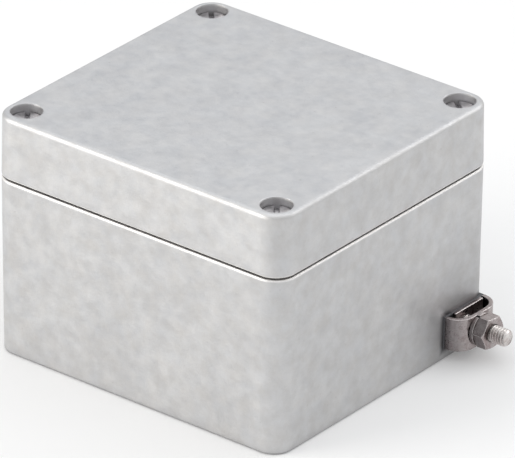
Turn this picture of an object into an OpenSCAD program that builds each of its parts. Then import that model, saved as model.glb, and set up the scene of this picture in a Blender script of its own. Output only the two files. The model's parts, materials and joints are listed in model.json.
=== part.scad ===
// Die cast aluminium box: a base casting, a lid on four captive screws with a seal,
// and an earth terminal low on the right-hand wall.
// +X right, +Y back, +Z up. The origin is the centre of the base's underside.

/* [Case] */
// Width of the case along X, at the parting line
case_w = 80; // [74:1:160]
// Depth of the case along Y, at the parting line
case_d = 75; // [70:1:160]
// Height of the closed case
case_h = 58; // [50:1:110]
// Height of the lid, from the parting line to the top
lid_h = 15.4; // [14:0.2:24]
// Radius of the vertical corners at the parting line
corner_r = 5.3; // [4:0.1:6]
// Wall thickness of both castings
wall = 3.8; // [3.6:0.1:4.6]
// Thickness of the floor of the base
floor_t = 3.5; // [2.5:0.1:5]
// Thickness of the top of the lid
top_t = 3.2; // [2.5:0.1:4]
// Draft angle of the base, in degrees
base_draft = 0.55; // [0.25:0.05:1.5]
// Draft angle of the lid, in degrees
lid_draft = 0.8; // [0.25:0.05:1.5]

/* [Edges] */
// Radius round the lid's top edge
top_edge_r = 1.1; // [0.5:0.1:1.5]
// Radius round the base's bottom edge
foot_edge_r = 0.7; // [0.3:0.1:1.5]
// Radius of the lips on both sides of the parting line
lip_r = 0.4; // [0.2:0.1:0.6]
// Gap that the seal leaves between the base and the lid
parting_gap = 0.5; // [0.3:0.1:0.8]
// Radius between the floor and the inside walls
inner_edge_r = 1.5; // [0.5:0.1:2.5]
// Radius between the lid's top and its inside walls
ceiling_edge_r = 1; // [0.5:0.1:1.2]

/* [Cavity] */
// Corner radius of the cavity
cavity_r = 4; // [3:0.1:5]
// Depth of the corner blocks along X, from the outside of the case
block_x = 13; // [12.6:0.2:16]
// Depth of the corner blocks along Y, from the outside of the case
block_y = 22; // [21:0.2:26]
// Radius on the inner corner of each block
block_r = 4; // [3.5:0.1:5]

/* [Seal] */
// Width of the tongue on the base
tongue_w = 1.6; // [1.2:0.1:2]
// Height of the tongue over the base's rim
tongue_h = 3; // [2:0.1:4]
// Clearance between the tongue and each side of the groove
groove_clearance = 0.5; // [0.3:0.1:0.6]
// Depth of the groove in the lid
groove_depth = 5; // [4.5:0.1:6]
// Thickness of the lid's rib on the inner side of the groove
rib_t = 1.3; // [1:0.1:1.6]

/* [Lid screws] */
// Distance of each screw from the side faces, along X
screw_inset_x = 5.4; // [5.3:0.1:6]
// Distance of each screw from the front and back faces, along Y
screw_inset_y = 5.5; // [5.3:0.1:6]
// Diameter of the thread
screw_d = 4; // [3.5:0.1:4.2]
// Length under the head
screw_len = 18; // [17:0.5:19]
// Diameter of the waist that the retaining ring runs on
waist_d = 3.1; // [2.8:0.1:3.2]
// Diameter of the head
head_d = 7; // [6.5:0.1:7]
// Height of the head
head_h = 2.6; // [2.2:0.1:3]
// Width of the driver slot
slot_w = 1.2; // [1:0.1:1.4]
// Depth of the driver slot
slot_depth = 1.1; // [0.8:0.1:1.4]
// Depth of the head's top under the lid's top
head_sink = 1.8; // [1:0.1:2]
// Diameter of the recess for the head
recess_d = 7.3; // [7.2:0.1:7.6]
// Diameter of the clearance hole through the lid
lid_hole_d = 4.5; // [4.3:0.1:4.8]
// Thickness of the lid under the head
seat_t = 2; // [1.6:0.1:3]
// Depth of the tapped holes past the screws' tips
tap_past = 2.4; // [1:0.1:4]

/* [Retaining rings] */
// Outer diameter of a retaining ring
ring_d = 7; // [6.4:0.1:7]
// Thickness of a retaining ring
ring_t = 0.8; // [0.5:0.1:1]
// Height of a retaining ring over the base's rim
ring_lift = 0.2; // [0.1:0.1:0.3]
// Diameter of the recess that a retaining ring moves in
ring_recess_d = 7.6; // [7.4:0.1:7.8]

/* [Fixing holes] */
// Distance of each fixing hole from the side faces, along X
fixing_inset_x = 6; // [6:0.1:6.6]
// Distance of each fixing hole from the front and back faces, along Y
fixing_inset_y = 15; // [14.8:0.1:16]
// Diameter of the fixing holes
fixing_d = 4.4; // [4.2:0.1:5]
// Diameter of the wells over the fixing holes
well_d = 7.6; // [7:0.1:7.8]
// Height of the fixing screw's seat over the underside
well_seat = 10.6; // [10.6:0.1:14]
// Depth of the cores in the lid over the wells
lid_core_depth = 9; // [6:0.1:9.5]

/* [Inside bosses] */
// Spacing of the floor bosses along X
boss_spacing_x = 36; // [26:1:38]
// Spacing of the floor bosses along Y
boss_spacing_y = 46; // [30:1:48]
// Diameter of a floor boss at its top
boss_d = 7; // [6:0.1:8]
// Height of a floor boss over the floor
boss_h = 4.5; // [3:0.1:7]
// Diameter of the core hole in a floor boss
boss_core_d = 3; // [2.5:0.1:3.4]
// Depth of the core hole in a floor boss
boss_core_depth = 6; // [4:0.1:6.5]

/* [Outer earth terminal] */
// Distance of the stud from the back face, along Y
stud_inset_y = 9.7; // [9:0.1:10.5]
// Height of the stud over the underside
stud_z = 7.05; // [6.6:0.05:7.05]
// Diameter of the stud's thread
stud_d = 4; // [3.5:0.1:4]
// Length of the stud that is screwed into the pad
stud_buried = 7.5; // [5:0.1:8]
// Length of the stud outside the pad
stud_free = 12.6; // [12:0.1:18]
// Height of the flat cast pad under the terminal, over the wall
pad_proud = 0.2; // [0.1:0.1:1]
// Thickness of the back plate
plate_t = 0.8; // [0.6:0.1:1.2]
// Width of the back plate along Y
plate_w = 9.8; // [8:0.1:10]
// Offset of the back plate from the stud, along Y
plate_offset = 1.3; // [0.5:0.1:1.4]
// Width of the saddle along Y
saddle_w = 14.2; // [14:0.1:15]
// Height of the saddle along Z
saddle_h = 7.8; // [6.6:0.1:9]
// Height of the saddle's lower edge over the underside
saddle_low = 2.9; // [1.5:0.1:3.4]
// Offset of the saddle from the stud, along Y
saddle_offset = 0.6; // [0.3:0.1:0.8]
// Reach of the saddle out of the pad
saddle_reach = 4.7; // [4.5:0.1:6]
// Thickness of the saddle's sheet
saddle_t = 0.9; // [0.8:0.1:1.2]
// Outer bend radius of the saddle
bend_r = 4.4; // [2:0.1:4.4]
// Thickness of the spring washer
spring_t = 0.9; // [0.6:0.1:1.2]
// Outer diameter of the spring washer
spring_d = 7.6; // [6.8:0.1:7.7]
// Width of the nut across its flats
nut_flats = 7; // [6:0.1:8]
// Thickness of the nut
nut_t = 2.9; // [2.4:0.1:3.2]
// Turn of the nut from level flats, in degrees
nut_turn = -6; // [-30:1:30]

/* [Inner earth terminal] */
// Distance of the inner earth screw from the right-hand face, along X
inner_inset_x = 11; // [10:0.1:12]
// Height of the inner earth boss over the floor
inner_boss_h = 7; // [5:0.1:9]
// Diameter of the inner earth boss
inner_boss_d = 9; // [8:0.1:10]
// Width of the square clamp washer
clamp_w = 8.5; // [8:0.1:9.4]
// Thickness of the clamp washer
clamp_t = 1; // [0.8:0.1:1.4]
// Length of the inner earth screw under its head
inner_screw_len = 8; // [7:0.1:9]

/* [Fits] */
// Radial clearance of a thread that turns in its hole
thread_fit = 0.05; // [0.03:0.01:0.1]

/* [Hidden] */
CORNERS = ["front_left", "front_right", "back_right", "back_left"];
$fn = 96;

CAST = "#c4c5c8";
STEEL = "#a8a4a0";
RUBBER = "#3a3a3c";
NYLON = "#e6e3d8";
past = 1; // how far a cut runs past a face
thread_chamfer = 0.5;

rim_z = case_h - lid_h;
lid_z = rim_z + parting_gap;
base_taper = tan(base_draft);
lid_taper = tan(lid_draft);

seat_z = case_h - head_sink - head_h;
ring_z = rim_z + ring_lift;
ring_roof_z = seat_z - seat_t;
screw_travel = ring_roof_z - ring_z - ring_t;
tip_z = seat_z - screw_len;

screw_x = case_w / 2 - screw_inset_x;
screw_y = case_d / 2 - screw_inset_y;
fixing_x = case_w / 2 - fixing_inset_x;
fixing_y = case_d / 2 - fixing_inset_y;

// the cavity's cross: half lengths of its two arms, and half widths of the same arms
cavity_x = case_w / 2 - wall;
cavity_y = case_d / 2 - wall;
arm_x = case_w / 2 - block_x;
arm_y = case_d / 2 - block_y;
groove_out = tongue_w + groove_clearance;

stud_y = case_d / 2 - stud_inset_y;
saddle_y = stud_y + saddle_offset;
// the pad's flat face stands clear of the drafted wall over the saddle's whole height
pad_x = case_w / 2 - base_taper * (rim_z - saddle_low - saddle_h) + pad_proud;
web_x = pad_x + saddle_reach;
washer_face_x = web_x + spring_t;

inner_x = case_w / 2 - inner_inset_x;
inner_boss_z = floor_t + inner_boss_h;

// Half of an upright section: its outline from the corner's axis out to the face, with both edges round
module edge_section(reach_low, reach_high, low, high, edge_low, edge_high) {
    slope = (reach_high - reach_low) / (high - low);
    slant = sqrt(1 + slope * slope);
    outward = [1, -slope] / slant;
    centre_low = [reach_low + slope * edge_low - edge_low * slant, low + edge_low];
    centre_high = [reach_high - slope * edge_high - edge_high * slant, high - edge_high];
    polygon([
        [0, low],
        [centre_low[0], low],
        centre_low,
        centre_low + edge_low * outward,
        centre_high + edge_high * outward,
        centre_high,
        [centre_high[0], high],
        [0, high]
    ]);
    translate(centre_low) circle(edge_low);
    translate(centre_high) circle(edge_high);
}

// A block with drafted sides, round corners and round edges. The half size and the corner are those
// at its low end, and taper is how far each side moves out for each millimetre up.
module drafted_block(half_x, half_y, corner, taper, low, high, edge_low, edge_high) {
    centre_x = half_x - corner;
    centre_y = half_y - corner;
    module side() {
        edge_section(corner, corner + taper * (high - low), low, high, edge_low, edge_high);
    }
    module section(half) {
        for (flip = [0, 1]) {
            mirror([flip, 0]) translate([half, 0]) side();
        }
        translate([-half, low]) square([2 * half, high - low]);
    }
    rotate([90, 0, 0]) linear_extrude(2 * centre_y, center = true) section(centre_x);
    rotate([90, 0, 90]) linear_extrude(2 * centre_x, center = true) section(centre_y);
    for (x = [-centre_x, centre_x], y = [-centre_y, centre_y]) {
        translate([x, y]) rotate_extrude() side();
    }
}

// The outline of the cavity, moved outwards by grow
module cross_outline(grow) {
    fillet_x = arm_x + block_r;
    fillet_y = arm_y + block_r;
    rounded_rectangle(cavity_x + grow, arm_y + grow, cavity_r + grow);
    rounded_rectangle(arm_x + grow, cavity_y + grow, cavity_r + grow);
    difference() {
        square(2 * [fillet_x, fillet_y], center = true);
        for (x = [-fillet_x, fillet_x], y = [-fillet_y, fillet_y]) {
            translate([x, y]) circle(block_r - grow);
        }
    }
}

module rounded_rectangle(half_x, half_y, corner) {
    square([2 * half_x, 2 * (half_y - corner)], center = true);
    square([2 * (half_x - corner), 2 * half_y], center = true);
    for (x = [-1, 1], y = [-1, 1]) {
        translate([x * (half_x - corner), y * (half_y - corner)]) circle(corner);
    }
}

module seal_ring(inner, outer, low, high) {
    translate([0, 0, low]) linear_extrude(high - low) difference() {
        cross_outline(outer);
        cross_outline(inner);
    }
}

// The cross-shaped hollow. It is as wide as cross_outline(grow) at its mouth and narrows away from it.
module hollow(grow, taper, mouth, end, edge) {
    depth = abs(mouth - end);
    shrink = taper * depth;
    up = end > mouth ? 1 : 0;
    translate([0, 0, end]) mirror([0, 0, up]) {
        drafted_block(cavity_x + grow - shrink, arm_y + grow - shrink, cavity_r + grow - shrink,
            taper, 0, depth, edge, 0.01);
        drafted_block(arm_x + grow - shrink, cavity_y + grow - shrink, cavity_r + grow - shrink,
            taper, 0, depth, edge, 0.01);
        for (x = [0, 1], y = [0, 1]) {
            mirror([x, 0]) mirror([0, y]) block_fillet(block_r - grow, taper, depth, edge);
        }
    }
}

// What the round inner corner of a block leaves free between the hollow's two arms
module block_fillet(mouth_r, taper, depth, edge) {
    fillet_x = arm_x + block_r;
    fillet_y = arm_y + block_r;
    crossing = 0.03; // the round crosses the flat walls by this much, so that they meet in a clean edge
    round_r = mouth_r + crossing;
    end_r = round_r + taper * depth;
    difference() {
        cube([fillet_x, fillet_y, depth]);
        translate([fillet_x, fillet_y]) {
            translate([0, 0, -past]) {
                cylinder(h = depth + 2 * past, r1 = end_r + taper * past, r2 = round_r - taper * past);
            }
            cylinder(h = edge, r1 = end_r + edge, r2 = end_r);
        }
    }
}

module at_corners(x, y) {
    for (side_x = [-1, 1], side_y = [-1, 1]) {
        translate([side_x * x, side_y * y]) children();
    }
}

module upright_hole(diameter, low, high) {
    translate([0, 0, low]) cylinder(h = high - low, d = diameter);
}

// A thread's outside, with a chamfer at each end
module thread_rod(diameter, length, chamfer) {
    cylinder(h = chamfer, d1 = diameter - 2 * chamfer, d2 = diameter);
    translate([0, 0, chamfer]) cylinder(h = length - 2 * chamfer, d = diameter);
    translate([0, 0, length - chamfer]) cylinder(h = chamfer, d1 = diameter, d2 = diameter - 2 * chamfer);
}

// A split ring of square wire, flattened
module spring_washer(outer_d, bore_d, thickness) {
    split = 0.5;
    difference() {
        cylinder(h = thickness, d = outer_d);
        translate([0, 0, -past]) cylinder(h = thickness + 2 * past, d = bore_d);
        translate([0, -split / 2, -past]) cube([outer_d, split, thickness + 2 * past]);
    }
}

module base() {
    color(CAST) difference() {
        union() {
            difference() {
                union() {
                    drafted_block(case_w / 2 - base_taper * rim_z, case_d / 2 - base_taper * rim_z,
                        corner_r - base_taper * rim_z, base_taper, 0, rim_z, foot_edge_r, lip_r);
                    translate([0, 0, rim_z - past]) linear_extrude(tongue_h + past) cross_outline(tongue_w);
                }
                hollow(0, base_taper, rim_z + tongue_h + past, floor_t, inner_edge_r);
            }
            at_corners(boss_spacing_x / 2, boss_spacing_y / 2) floor_boss();
            inner_earth_boss();
            earth_pad();
        }
        at_corners(boss_spacing_x / 2, boss_spacing_y / 2) {
            upright_hole(boss_core_d, floor_t + boss_h - boss_core_depth, floor_t + boss_h + past);
        }
        at_corners(screw_x, screw_y) {
            upright_hole(screw_d + 2 * thread_fit, tip_z - tap_past, rim_z + past);
        }
        at_corners(fixing_x, fixing_y) {
            upright_hole(fixing_d, -past, well_seat + past);
            upright_hole(well_d, well_seat, rim_z + past);
        }
        translate([pad_x - stud_buried - thread_chamfer, stud_y, stud_z]) rotate([0, 90, 0]) {
            cylinder(h = stud_buried + thread_chamfer + past, d = stud_d + 2 * thread_fit);
        }
        translate([inner_x, 0, 0]) {
            upright_hole(screw_d + 2 * thread_fit, inner_boss_z - inner_screw_len, inner_boss_z + past);
        }
    }
}

// A flat pad as large as the saddle's outline, which also squares off the round corner behind it
module earth_pad() {
    inside_x = case_w / 2 - corner_r;
    translate([inside_x, saddle_y - saddle_w / 2, saddle_low]) {
        cube([pad_x - inside_x, saddle_w, saddle_h]);
    }
}

module floor_boss() {
    foot_d = boss_d + 2;
    sunk = floor_t / 2;
    translate([0, 0, floor_t - sunk]) cylinder(h = boss_h + sunk, d1 = foot_d, d2 = boss_d);
}

// The boss stands against the right-hand wall, joined to it by a block of the same width
module inner_earth_boss() {
    sunk = floor_t / 2;
    reach = cavity_x + wall / 2 - inner_x;
    translate([inner_x, 0, floor_t - sunk]) {
        cylinder(h = inner_boss_h + sunk, d = inner_boss_d);
        translate([0, -inner_boss_d / 2, 0]) cube([reach, inner_boss_d, inner_boss_h + sunk]);
    }
}

module lid() {
    height = case_h - lid_z;
    shrink = lid_taper * height;
    color(CAST) difference() {
        translate([0, 0, case_h]) mirror([0, 0, 1]) {
            drafted_block(case_w / 2 - shrink, case_d / 2 - shrink, corner_r - shrink,
                lid_taper, 0, height, top_edge_r, lip_r);
        }
        hollow(-groove_clearance - rib_t, lid_taper, lid_z - past, case_h - top_t, ceiling_edge_r);
        seal_ring(-groove_clearance, groove_out, lid_z - past, lid_z + groove_depth);
        at_corners(screw_x, screw_y) {
            upright_hole(lid_hole_d, lid_z - past, case_h + past);
            upright_hole(recess_d, seat_z, case_h + past);
            upright_hole(ring_recess_d, lid_z - past, ring_roof_z);
        }
        at_corners(fixing_x, fixing_y) upright_hole(well_d, lid_z - past, lid_z + lid_core_depth);
    }
}

module gasket() {
    color(RUBBER) seal_ring(-groove_clearance, groove_out, rim_z + tongue_h, lid_z + groove_depth);
}

module corner_place(name) {
    index = search([name], CORNERS)[0];
    side_x = index == 0 || index == 3 ? -1 : 1;
    side_y = index < 2 ? -1 : 1;
    translate([side_x * screw_x, side_y * screw_y]) children();
}

// A slotted cheese head on a waisted shank, turned so that its slot lies at the given angle
module lid_screw(name, slot_angle) {
    head_edge = 0.3;
    thread_top = ring_z - thread_fit;
    color(STEEL) corner_place(name) {
        difference() {
            translate([0, 0, seat_z]) {
                cylinder(h = head_h - head_edge, d = head_d);
                translate([0, 0, head_h - head_edge]) {
                    cylinder(h = head_edge, d1 = head_d, d2 = head_d - 2 * head_edge);
                }
            }
            rotate([0, 0, slot_angle]) translate([-head_d, -slot_w / 2, seat_z + head_h - slot_depth]) {
                cube([2 * head_d, slot_w, slot_depth + past]);
            }
        }
        upright_hole(waist_d, thread_top - thread_chamfer, seat_z + past);
        translate([0, 0, tip_z]) thread_rod(screw_d, thread_top - tip_z, thread_chamfer);
    }
}

module retaining_ring(name) {
    color(NYLON) corner_place(name) difference() {
        upright_hole(ring_d, ring_z, ring_z + ring_t);
        upright_hole(waist_d + 2 * thread_fit, ring_z - past, ring_z + ring_t + past);
    }
}

// Turns a shape that stands on z = 0 so that it lies along +X on the stud's axis, from the given x
module on_stud(x) {
    translate([x, stud_y, stud_z]) rotate([0, 90, 0]) children();
}

module earth_stud() {
    color(STEEL) on_stud(pad_x - stud_buried) {
        thread_rod(stud_d, stud_buried + stud_free, thread_chamfer);
    }
}

module earth_back_plate() {
    color(STEEL) difference() {
        translate([pad_x, stud_y + plate_offset - plate_w / 2, saddle_low]) {
            cube([plate_t, plate_w, saddle_h]);
        }
        on_stud(pad_x - past) cylinder(h = plate_t + 2 * past, d = stud_d + 4 * thread_fit);
    }
}

// A strip bent to a U, with both legs standing on the pad and the stud through its web
module earth_saddle() {
    module bent(reach, half_w, radius) {
        translate([-past, -half_w]) square([reach - radius + past, 2 * half_w]);
        translate([-past, radius - half_w]) square([reach + past, 2 * (half_w - radius)]);
        for (side = [-1, 1]) {
            translate([reach - radius, side * (half_w - radius)]) circle(radius);
        }
    }
    color(STEEL) difference() {
        translate([pad_x, saddle_y, saddle_low]) linear_extrude(saddle_h) difference() {
            bent(saddle_reach, saddle_w / 2, bend_r);
            bent(saddle_reach - saddle_t, saddle_w / 2 - saddle_t, bend_r - saddle_t);
            translate([-saddle_w, -saddle_w]) square([saddle_w, 2 * saddle_w]);
        }
        on_stud(web_x - saddle_t - past) cylinder(h = saddle_t + 2 * past, d = stud_d + 4 * thread_fit);
    }
}

module earth_spring_washer() {
    color(STEEL) on_stud(web_x) rotate([0, 0, 200]) {
        spring_washer(spring_d, stud_d + 4 * thread_fit, spring_t);
    }
}

// A hexagon with both ends chamfered by a cone
module earth_nut() {
    across_corners = nut_flats / cos(30);
    cone_h = (across_corners - nut_flats) / 2 * tan(30);
    color(STEEL) on_stud(washer_face_x) difference() {
        intersection() {
            rotate([0, 0, 30 + nut_turn]) cylinder(h = nut_t, d = across_corners, $fn = 6);
            union() {
                cylinder(h = cone_h, d1 = nut_flats, d2 = across_corners);
                translate([0, 0, cone_h]) cylinder(h = nut_t - 2 * cone_h, d = across_corners);
                translate([0, 0, nut_t - cone_h]) cylinder(h = cone_h, d1 = across_corners, d2 = nut_flats);
            }
        }
        translate([0, 0, -past]) cylinder(h = nut_t + 2 * past, d = stud_d + 2 * thread_fit);
    }
}

module on_inner_boss(height) {
    translate([inner_x, 0, inner_boss_z + height]) children();
}

module inner_earth_clamp() {
    color(STEEL) on_inner_boss(0) difference() {
        translate([-clamp_w / 2, -clamp_w / 2, 0]) cube([clamp_w, clamp_w, clamp_t]);
        upright_hole(screw_d + 4 * thread_fit, -past, clamp_t + past);
    }
}

module inner_earth_spring_washer() {
    color(STEEL) on_inner_boss(clamp_t) spring_washer(spring_d, screw_d + 4 * thread_fit, spring_t);
}

module inner_earth_screw() {
    under_head = clamp_t + spring_t;
    color(STEEL) on_inner_boss(under_head) {
        difference() {
            cylinder(h = head_h, d = head_d);
            translate([-head_d, -slot_w / 2, head_h - slot_depth]) {
                cube([2 * head_d, slot_w, slot_depth + past]);
            }
        }
        translate([0, 0, -inner_screw_len]) {
            cylinder(h = thread_chamfer, d1 = screw_d - 2 * thread_chamfer, d2 = screw_d);
        }
        translate([0, 0, thread_chamfer - inner_screw_len]) {
            cylinder(h = inner_screw_len - thread_chamfer + head_h - slot_depth, d = screw_d);
        }
    }
}

base();
lid();
gasket();
lid_screw("front_left", 126);  // lid_screw_front_left
lid_screw("front_right", 127);  // lid_screw_front_right
lid_screw("back_right", 141);  // lid_screw_back_right
lid_screw("back_left", 133);  // lid_screw_back_left
retaining_ring("front_left");  // retaining_ring_front_left
retaining_ring("front_right");  // retaining_ring_front_right
retaining_ring("back_right");  // retaining_ring_back_right
retaining_ring("back_left");  // retaining_ring_back_left
earth_stud();
earth_back_plate();
earth_saddle();
earth_spring_washer();
earth_nut();
inner_earth_screw();
inner_earth_spring_washer();
inner_earth_clamp();
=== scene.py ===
"""The looks of a small die cast aluminium box: grey castings, slotted lid screws and an earth terminal."""

import json
import math

import bmesh
import bpy
from mathutils import Matrix, Vector


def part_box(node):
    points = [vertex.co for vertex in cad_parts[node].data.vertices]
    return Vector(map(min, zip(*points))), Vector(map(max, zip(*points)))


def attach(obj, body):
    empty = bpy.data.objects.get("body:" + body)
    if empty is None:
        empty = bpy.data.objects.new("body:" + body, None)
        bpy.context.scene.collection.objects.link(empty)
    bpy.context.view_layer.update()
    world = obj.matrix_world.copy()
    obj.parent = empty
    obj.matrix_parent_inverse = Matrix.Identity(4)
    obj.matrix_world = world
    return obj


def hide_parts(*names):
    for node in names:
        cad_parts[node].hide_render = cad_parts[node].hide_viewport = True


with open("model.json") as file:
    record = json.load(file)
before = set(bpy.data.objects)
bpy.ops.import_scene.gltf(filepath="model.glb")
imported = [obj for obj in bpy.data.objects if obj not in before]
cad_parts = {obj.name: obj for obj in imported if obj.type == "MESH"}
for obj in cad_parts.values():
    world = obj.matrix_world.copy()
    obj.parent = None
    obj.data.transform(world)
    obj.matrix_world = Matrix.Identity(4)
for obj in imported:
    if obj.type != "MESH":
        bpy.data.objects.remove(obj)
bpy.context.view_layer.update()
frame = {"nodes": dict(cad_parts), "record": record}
MM = 0.001

# Camera: where it stands, the way it looks in degrees, its lens and sensor in mm, and its reach in metres
CAMERA_AZIMUTH = 38.3103
CAMERA_ELEVATION = 27.5413
CAMERA_ROLL = 0.6266
CAMERA_PLACE = Vector((1014.806, -1279.156, 879.370)) * MM
CAMERA_LENS = 588.75
SENSOR = 36.0
CLIP_END = 20

# M4 coarse thread, a little inside the CAD rod. The flat crest and the flank are shares of half a pitch
PITCH = 0.7 * MM
THREAD_R = 1.995 * MM
THREAD_DEPTH = 0.40 * MM
CREST_SHARE = 0.12
FLANK_SHARE = 0.70
STUD_CHAMFER = 0.45 * MM
SCREW_CHAMFER = 0.4 * MM

# The axes of a thread along +X and of one along +Z: its own axis first, then the two across it
ALONG_X = (Vector((1, 0, 0)), Vector((0, 1, 0)), Vector((0, 0, 1)))
ALONG_Z = (Vector((0, 0, 1)), Vector((1, 0, 0)), Vector((0, 1, 0)))

# How far below its retaining ring a lid screw's thread ends
RING_GAP = 0.05 * MM

# Mesh: how finely threads are divided, which edges stay sharp and which CAD points are one
RINGS_PER_TURN = 12
SEGMENTS = 48
SHARP_ANGLE = math.radians(50)
SAME_POINT = 0.0005 * MM

# Light and floor
WORLD_LIGHT = 0.8
FLOOR_GLOW = 0.14
FLOOR_GREY = 0.8
FLOOR_HALF = 6.0

# The point that all lamps face, and each lamp's place, size, power in watts and colour
LAMP_TARGET = Vector((0, 0, 0.03))
LAMPS = {
    "overhead": ((0.0, 0.0, 0.70), (0.9, 0.9), 1.9, (0.95, 0.975, 1.0)),
    "key": ((-0.48, -0.66, 0.26), (0.5, 0.4), 3.6, (1.0, 0.97, 0.92)),
    "rim": ((0.40, 0.60, 0.45), (0.4, 0.4), 1.3, (1, 1, 1)),
}

# The parting line: the middle of the gap between the lid and the base
PARTING_GAP = 0.5 * MM
PARTING_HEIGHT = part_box("lid")[0].z - PARTING_GAP / 2

# Half the saddle's size, the middle of its side towards the wall, and how far behind that the painted
# contact shadow reaches
SADDLE_LOW, SADDLE_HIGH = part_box("earth_saddle")
SADDLE_HALF = (SADDLE_HIGH - SADDLE_LOW) / 2
TERMINAL = Vector((SADDLE_LOW.x, (SADDLE_LOW.y + SADDLE_HIGH.y) / 2, (SADDLE_LOW.z + SADDLE_HIGH.z) / 2))
SADDLE_SHADOW_DEPTH = 3 * MM

# How far edges are softened, and how near a surface must be for a recess or a hollow to be painted in shade
CASTING_EDGE = 0.7 * MM
STEEL_EDGE = 0.3 * MM
SCREW_EDGE = 0.10 * MM
RECESS_REACH = 5 * MM
HOLLOW_REACH = 1.5 * MM


# ---------------------------------------------------------------- node helpers

class Shader:
    """A node tree with short calls for the nodes that the materials use."""

    def __init__(self, name):
        self.material = bpy.data.materials.new(name)
        self.material.use_nodes = True
        self.tree = self.material.node_tree
        self.tree.nodes.clear()
        self.out = self.node("ShaderNodeOutputMaterial")
        self.coord = self.node("ShaderNodeTexCoord").outputs["Object"]

    def node(self, kind, **settings):
        made = self.tree.nodes.new(kind)
        for key, value in settings.items():
            setattr(made, key, value)
        return made

    def link(self, source, target):
        self.tree.links.new(source, target)

    def set(self, socket, value):
        if isinstance(value, bpy.types.NodeSocket):
            self.link(value, socket)
        else:
            socket.default_value = value

    def stretched(self, per_metre):
        """The object's coordinates, scaled by a different number of noise cells a metre on each axis."""
        made = self.node("ShaderNodeMapping")
        self.link(self.coord, made.inputs["Vector"])
        made.inputs["Scale"].default_value = per_metre
        return made.outputs["Vector"]

    def noise(self, per_metre, detail=2.0, rough=0.5, vector=None):
        made = self.node("ShaderNodeTexNoise")
        self.link(vector or self.coord, made.inputs["Vector"])
        made.inputs["Scale"].default_value = per_metre
        made.inputs["Detail"].default_value = detail
        made.inputs["Roughness"].default_value = rough
        return made.outputs["Fac"]

    def remap(self, value, low, high, to_low, to_high):
        made = self.node("ShaderNodeMapRange")
        self.set(made.inputs["Value"], value)
        for key, number in (("From Min", low), ("From Max", high), ("To Min", to_low), ("To Max", to_high)):
            made.inputs[key].default_value = number
        return made.outputs["Result"]

    def math(self, operation, a, b=0.0):
        made = self.node("ShaderNodeMath", operation=operation)
        self.set(made.inputs[0], a)
        self.set(made.inputs[1], b)
        return made.outputs["Value"]

    def mix(self, factor, a, b, blend="MIX"):
        made = self.node("ShaderNodeMix", data_type="RGBA", blend_type=blend)
        self.set(made.inputs["Factor"], factor)
        for socket, value in ((made.inputs[6], a), (made.inputs[7], b)):
            if isinstance(value, tuple):
                value = (*value, 1.0) if len(value) == 3 else value
            self.set(socket, value)
        return made.outputs[2]

    def split(self, vector):
        made = self.node("ShaderNodeSeparateXYZ")
        self.link(vector, made.inputs[0])
        return made.outputs

    def distance(self, place):
        made = self.node("ShaderNodeVectorMath", operation="DISTANCE")
        self.link(self.coord, made.inputs[0])
        made.inputs[1].default_value = place
        return made.outputs["Value"]

    def past_edge(self, value, middle, half):
        """How far a coordinate lies outside a band about its middle, negative inside it."""
        return self.math("SUBTRACT", self.math("ABSOLUTE", self.math("SUBTRACT", value, middle)), half)

    def normal(self):
        return self.node("ShaderNodeNewGeometry").outputs["Normal"]

    def openness(self, reach):
        """1 in the open, falling to 0 in corners and hollows within reach."""
        made = self.node("ShaderNodeAmbientOcclusion", samples=4)
        made.inputs["Distance"].default_value = reach
        return made.outputs["AO"]

    def bump(self, height, distance, strength=1.0, normal=None):
        made = self.node("ShaderNodeBump")
        made.inputs["Strength"].default_value = strength
        made.inputs["Distance"].default_value = distance
        self.link(height, made.inputs["Height"])
        if normal is not None:
            self.link(normal, made.inputs["Normal"])
        return made.outputs["Normal"]

    def soft_edges(self, radius):
        made = self.node("ShaderNodeBevel", samples=4)
        made.inputs["Radius"].default_value = radius
        return made.outputs["Normal"]

    def finish(self, color, roughness, metallic=0.0, normal=None):
        made = self.node("ShaderNodeBsdfPrincipled")
        self.set(made.inputs["Base Color"], color)
        self.set(made.inputs["Roughness"], roughness)
        made.inputs["Metallic"].default_value = metallic
        if normal is not None:
            self.link(normal, made.inputs["Normal"])
        self.link(made.outputs["BSDF"], self.out.inputs["Surface"])
        return self.material


# ---------------------------------------------------------------- materials

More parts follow.
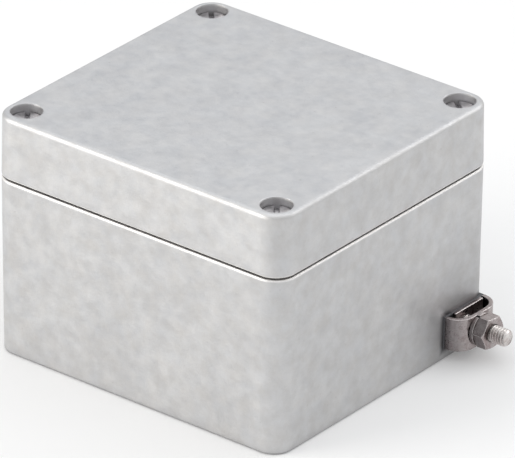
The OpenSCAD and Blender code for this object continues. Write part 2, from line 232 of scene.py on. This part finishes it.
def cast_aluminium():
    """Shot-blasted aluminium: soft clouds, a fine grain, smeared sides with painted shade, painted shade on
    rolled edges, a painted bright parting line, and painted shade round the terminal, against the saddle and
    in hollows.
    """
    s = Shader("cast_aluminium")
    clouds = s.noise(150, detail=3, rough=0.55)
    patches = s.noise(420, detail=4, rough=0.6)
    grain = s.noise(2600, detail=2, rough=0.6)
    specks = s.noise(1100, detail=2, rough=0.5)
    smears = s.noise(1, detail=4, rough=0.62, vector=s.stretched((250, 250, 280)))
    tint = s.noise(210, detail=2)
    depth, across, height = s.split(s.coord)
    tone = s.mix(s.remap(clouds, 0.32, 0.68, 0, 1), (0.566, 0.576, 0.597), (0.634, 0.642, 0.657))
    tone = s.mix(s.remap(patches, 0.3, 0.7, 0, 0.35), tone, (0.72, 0.72, 0.725))
    tone = s.mix(s.remap(grain, 0.25, 0.75, 0.16, 0), tone, (0.45, 0.45, 0.46))
    tone = s.mix(s.remap(specks, 0.68, 0.78, 0, 0.30), tone, (0.40, 0.39, 0.39))

    # the upright sides are smeared darker and a little warmer: partly real smears, partly painted shade that
    # keeps the sides darker than the top
    level = s.math("ABSOLUTE", s.split(s.normal())[2])
    upright = s.math("SUBTRACT", 1.0, level)
    rolled = s.math("MULTIPLY", level, upright)
    smear_and_side_shade = s.math("MULTIPLY", s.remap(smears, 0.34, 0.62, 0.34, 0), upright)
    tone = s.mix(smear_and_side_shade, tone, (0.43, 0.42, 0.41))
    tone = s.mix(upright, tone, (1.0, 0.992, 0.980), blend="MULTIPLY")
    tone = s.mix(s.remap(tint, 0.35, 0.65, 0, 1), tone, (1.0, 0.992, 0.982), blend="MULTIPLY")
    # painted shade on the rolled edges and other sloping faces, dimming their highlight
    tone = s.mix(s.remap(rolled, 0, 0.25, 0, 0.5), tone, (0.50, 0.495, 0.49))

    # painted light: a bright band along the parting line, lightening the shaded gap and the rim beside it
    from_gap = s.math("ABSOLUTE", s.math("SUBTRACT", height, PARTING_HEIGHT))
    tone = s.mix(s.remap(from_gap, 0.35 * MM, 0.8 * MM, 1, 0), tone, (0.86, 0.845, 0.83))

    # painted shade round the terminal
    tone = s.mix(s.remap(s.distance(TERMINAL), 7 * MM, 26 * MM, 0.36, 0), tone, (0.30, 0.30, 0.31))
    # a painted contact shadow on the wall against the saddle
    beside = s.past_edge(across, TERMINAL.y, SADDLE_HALF.y)
    above = s.past_edge(height, TERMINAL.z, SADDLE_HALF.z)
    saddle_shadow = s.remap(s.math("MAXIMUM", beside, above), 0.3 * MM, 1.5 * MM, 0.88, 0)
    saddle_shadow = s.math("MULTIPLY", saddle_shadow, s.math("GREATER_THAN", depth, TERMINAL.x - SADDLE_SHADOW_DEPTH))
    tone = s.mix(saddle_shadow, tone, (0.07, 0.07, 0.075))
    # painted shade in the screw recesses and other hollows
    tone = s.mix(s.remap(s.openness(RECESS_REACH), 0.15, 0.65, 0.5, 0), tone, (0.22, 0.215, 0.23))

    roughness = s.remap(patches, 0.3, 0.7, 0.44, 0.58)
    normal = s.bump(clouds, 0.16 * MM, 0.6, s.soft_edges(CASTING_EDGE))
    normal = s.bump(patches, 0.08 * MM, 0.6, normal)
    normal = s.bump(grain, 0.02 * MM, 0.6, normal)
    return s.finish(tone, roughness, metallic=1.0, normal=normal)


def plated_steel(name, dark, light):
    """Nickel plate: warm tarnish in patches, painted shade on one side and in its corners, and painted
    highlights on its edges.
    """
    s = Shader(name)
    patches = s.noise(700, detail=4, rough=0.6)
    stains = s.noise(260, detail=3, rough=0.6)
    fine = s.noise(3000, detail=2)
    tone = s.mix(s.remap(patches, 0.35, 0.65, 0, 1), dark, light)
    tone = s.mix(s.remap(stains, 0.45, 0.62, 0, 0.5), tone, (0.62, 0.50, 0.50), blend="MULTIPLY")
    tone = s.mix(s.remap(fine, 0.55, 0.75, 0, 0.5), tone, (0.17, 0.15, 0.14))
    # painted shade on the side facing -Y
    facing = s.split(s.normal())[1]
    tone = s.mix(s.remap(facing, -0.9, -0.45, 0.62, 0), tone, (0.15, 0.14, 0.145))
    # painted shade in the corners
    open_air = s.openness(HOLLOW_REACH)
    tone = s.mix(s.remap(open_air, 0.25, 0.8, 0.8, 0), tone, (0.08, 0.07, 0.065))

    # painted highlight on the edges: the softened normal leaves the true one only near an edge, so their
    # product finds the edges
    rounded = s.soft_edges(STEEL_EDGE)
    turned = s.node("ShaderNodeVectorMath", operation="DOT_PRODUCT")
    s.link(rounded, turned.inputs[0])
    s.link(s.normal(), turned.inputs[1])
    edge_highlight = s.math("MULTIPLY", s.remap(turned.outputs["Value"], 0.99, 0.90, 0, 0.75),
                  s.remap(open_air, 0.6, 0.9, 0, 1))
    tone = s.mix(edge_highlight, tone, (0.84, 0.80, 0.79))

    roughness = s.remap(patches, 0.3, 0.7, 0.22, 0.36)
    normal = s.bump(patches, 0.03 * MM, 0.5, rounded)
    normal = s.bump(fine, 0.012 * MM, 0.5, normal)
    return s.finish(tone, roughness, metallic=1.0, normal=normal)


def screw_steel():
    """Dull stainless steel with softened edges."""
    s = Shader("screw_steel")
    patches = s.noise(900, detail=3)
    tone = s.mix(s.remap(patches, 0.3, 0.7, 0, 1), (0.60, 0.585, 0.605), (0.74, 0.72, 0.74))
    roughness = s.remap(patches, 0.3, 0.7, 0.34, 0.48)
    normal = s.bump(patches, 0.02 * MM, 0.5, s.soft_edges(SCREW_EDGE))
    return s.finish(tone, roughness, metallic=1.0, normal=normal)


def seal_rubber():
    """Matt black rubber with a slight bloom."""
    s = Shader("seal_rubber")
    bloom = s.noise(500, detail=3)
    tone = s.mix(s.remap(bloom, 0.3, 0.7, 0, 1), (0.018, 0.018, 0.019), (0.040, 0.040, 0.042))
    return s.finish(tone, s.remap(bloom, 0.3, 0.7, 0.62, 0.78), normal=s.bump(bloom, 0.03 * MM, 0.4))


def ring_plastic():
    """Natural nylon, slightly clouded."""
    s = Shader("ring_plastic")
    clouds = s.noise(900, detail=2)
    tone = s.mix(s.remap(clouds, 0.3, 0.7, 0, 1), (0.70, 0.68, 0.60), (0.80, 0.78, 0.71))
    return s.finish(tone, 0.45, normal=s.bump(clouds, 0.01 * MM, 0.4))


# ---------------------------------------------------------------- stage

def floor_material():
    """A pale floor that reads as white to the camera and in reflections, and keeps the object's shadow."""
    s = Shader("floor")
    path = s.node("ShaderNodeLightPath")
    seen = s.math("MAXIMUM", path.outputs["Is Camera Ray"], path.outputs["Is Glossy Ray"])
    seen = s.math("MAXIMUM", seen, path.outputs["Is Transmission Ray"])
    diffuse = s.node("ShaderNodeBsdfDiffuse")
    diffuse.inputs["Color"].default_value = (FLOOR_GREY, FLOOR_GREY, FLOOR_GREY, 1)
    glow = s.node("ShaderNodeEmission")
    glow.inputs["Color"].default_value = (1, 1, 1, 1)
    s.link(s.math("MULTIPLY", seen, FLOOR_GLOW), glow.inputs["Strength"])
    total = s.node("ShaderNodeAddShader")
    s.link(diffuse.outputs[0], total.inputs[0])
    s.link(glow.outputs[0], total.inputs[1])
    s.link(total.outputs[0], s.out.inputs["Surface"])
    return s.material


def make_floor():
    mesh = bpy.data.meshes.new("floor")
    corners = [(x * FLOOR_HALF, y * FLOOR_HALF, 0) for x, y in ((-1, -1), (1, -1), (1, 1), (-1, 1))]
    mesh.from_pydata(corners, [], [(0, 1, 2, 3)])
    mesh.materials.append(floor_material())
    floor = bpy.data.objects.new("floor", mesh)
    bpy.context.scene.collection.objects.link(floor)


def make_world():
    """White to the camera, in reflections and through glass, and a plain grey light for the rest."""
    world = bpy.data.worlds.new("studio")
    bpy.context.scene.world = world
    world.use_nodes = True
    tree = world.node_tree
    tree.nodes.clear()
    path = tree.nodes.new("ShaderNodeLightPath")
    background = tree.nodes.new("ShaderNodeBackground")
    out = tree.nodes.new("ShaderNodeOutputWorld")
    seen = path.outputs["Is Camera Ray"]
    for ray in ("Is Glossy Ray", "Is Transmission Ray"):
        either = tree.nodes.new("ShaderNodeMath")
        either.operation = "MAXIMUM"
        tree.links.new(seen, either.inputs[0])
        tree.links.new(path.outputs[ray], either.inputs[1])
        seen = either.outputs[0]
    strength = tree.nodes.new("ShaderNodeMapRange")
    strength.inputs["To Min"].default_value = WORLD_LIGHT
    strength.inputs["To Max"].default_value = 1.0
    tree.links.new(seen, strength.inputs["Value"])
    tree.links.new(strength.outputs[0], background.inputs["Strength"])
    tree.links.new(background.outputs[0], out.inputs["Surface"])


def make_lights():
    for name, (place, size, power, color) in LAMPS.items():
        light = bpy.data.lights.new(name, "AREA")
        light.shape = "RECTANGLE"
        light.size, light.size_y = size
        light.energy = power
        light.color = color
        lamp = bpy.data.objects.new(name, light)
        lamp.location = place
        lamp.rotation_euler = (LAMP_TARGET - Vector(place)).to_track_quat("-Z", "Y").to_euler()
        bpy.context.scene.collection.objects.link(lamp)


def make_camera():
    azimuth, elevation, roll = (math.radians(v) for v in (CAMERA_AZIMUTH, CAMERA_ELEVATION, CAMERA_ROLL))
    right = Vector((math.cos(azimuth), math.sin(azimuth), 0))
    back = Vector((
        math.sin(azimuth) * math.cos(elevation),
        -math.cos(azimuth) * math.cos(elevation),
        math.sin(elevation),
    ))
    up = back.cross(right)
    turned_right = math.cos(roll) * right + math.sin(roll) * up
    turned_up = math.cos(roll) * up - math.sin(roll) * right
    camera = bpy.data.objects.new("camera", bpy.data.cameras.new("camera"))
    camera.data.lens = CAMERA_LENS
    camera.data.sensor_width = SENSOR
    camera.data.clip_end = CLIP_END
    camera.matrix_world = Matrix.Translation(CAMERA_PLACE) @ Matrix(
        (turned_right, turned_up, back)).transposed().to_4x4()
    bpy.context.scene.collection.objects.link(camera)
    bpy.context.scene.camera = camera


# ---------------------------------------------------------------- pieces

def thread_radius(turns):
    """The thread's radius where its helix has made the given turns: flat crest and root, straight flanks."""
    part = turns % 1.0
    rise = min(part, 1.0 - part) * 2.0
    return THREAD_R - THREAD_DEPTH * min(max((rise - CREST_SHARE) / FLANK_SHARE, 0.0), 1.0)


def add_thread(mesh, start, length, axes, chamfer):
    """Adds a closed right-handed thread to a bmesh, along the first of the axes, chamfered at both ends."""
    axis, side, up = axes
    count = int(length / PITCH * RINGS_PER_TURN)
    rows = []
    for ring in range(count + 1):
        along = length * ring / count
        limit = THREAD_R - max(chamfer - along, chamfer - (length - along), 0.0)
        row = []
        for segment in range(SEGMENTS):
            turn = segment / SEGMENTS
            radius = min(thread_radius(along / PITCH - turn), limit)
            angle = 2 * math.pi * turn
            outward = side * (radius * math.cos(angle)) + up * (radius * math.sin(angle))
            row.append(mesh.verts.new(start + axis * along + outward))
        rows.append(row)
    for low, high in zip(rows, rows[1:]):
        for one in range(SEGMENTS):
            two = (one + 1) % SEGMENTS
            mesh.faces.new((low[one], low[two], high[two], high[one]))
    mesh.faces.new(list(reversed(rows[0])))
    mesh.faces.new(rows[-1])


def new_piece(name, builder_mesh, body, slot, replaced, material=None):
    """Turns a bmesh into an object that rides on a body and stands for a CAD node."""
    mesh = bpy.data.meshes.new(name)
    builder_mesh.to_mesh(mesh)
    builder_mesh.free()
    mesh.materials.append(material or MATERIALS[slot])
    piece = bpy.data.objects.new(name, mesh)
    bpy.context.scene.collection.objects.link(piece)
    mesh.shade_smooth()
    mesh.set_sharp_from_angle(angle=SHARP_ANGLE)
    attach(piece, body)
    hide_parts(replaced)
    return piece


def body_of(node):
    for body, members in frame["record"]["behaviour"]["bodies"].items():
        if node in members:
            return body


def threaded_stud():
    """The earth stud, threaded over its whole length."""
    low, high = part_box("earth_stud")
    middle = (low + high) / 2
    builder = bmesh.new()
    start = Vector((low.x, middle.y, middle.z))
    add_thread(builder, start, high.x - low.x, ALONG_X, STUD_CHAMFER)
    return new_piece("threaded_earth_stud", builder, body_of("earth_stud"), "terminal_steel", "earth_stud",
                     LIT_THREAD_STEEL)


def threaded_screw(node, slot, thread_top):
    """A screw that keeps its CAD shape above the thread's top and has a thread below it."""
    source = frame["nodes"][node]
    low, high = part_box(node)
    start = Vector(((low.x + high.x) / 2, (low.y + high.y) / 2, low.z))
    builder = bmesh.new()
    builder.from_mesh(source.data)
    builder.transform(source.matrix_world)
    bmesh.ops.remove_doubles(builder, verts=builder.verts, dist=SAME_POINT)
    everything = list(builder.verts) + list(builder.edges) + list(builder.faces)
    bmesh.ops.bisect_plane(builder, geom=everything, plane_co=(0, 0, thread_top), plane_no=(0, 0, 1),
                           clear_inner=True)
    add_thread(builder, start, thread_top - low.z, ALONG_Z, SCREW_CHAMFER)
    return new_piece("threaded_" + node, builder, body_of(node), slot, node)


def paint(node, material):
    """Gives a CAD node a better material."""
    thing = frame["nodes"][node]
    if not thing.data.materials:
        thing.data.materials.append(material)
    for slot in thing.material_slots:
        slot.link = "OBJECT"
        slot.material = material


MATERIALS = {
    "cast_aluminium": cast_aluminium(),
    "seal_rubber": seal_rubber(),
    "ring_plastic": ring_plastic(),
    "screw_steel": screw_steel(),
    "terminal_steel": plated_steel("terminal_steel", (0.36, 0.315, 0.312), (0.50, 0.455, 0.45)),
}
# a lighter copy of the terminal's plated steel for the stud: painted light that brightens it
LIT_THREAD_STEEL = plated_steel("lit_thread_steel", (0.64, 0.60, 0.58), (0.80, 0.77, 0.75))

make_camera()
make_world()
make_floor()
make_lights()
for part in frame["record"]["subparts"]:
    paint(part["node"], MATERIALS[part["material_slot"]])
threaded_stud()
for corner in ("front_left", "front_right", "back_right", "back_left"):
    ring_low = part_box("retaining_ring_" + corner)[0]
    threaded_screw("lid_screw_" + corner, "screw_steel", ring_low.z - RING_GAP)
clamp_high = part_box("inner_earth_clamp")[1]
threaded_screw("inner_earth_screw", "terminal_steel", clamp_high.z)

bpy.context.scene.view_settings.view_transform = "Standard"
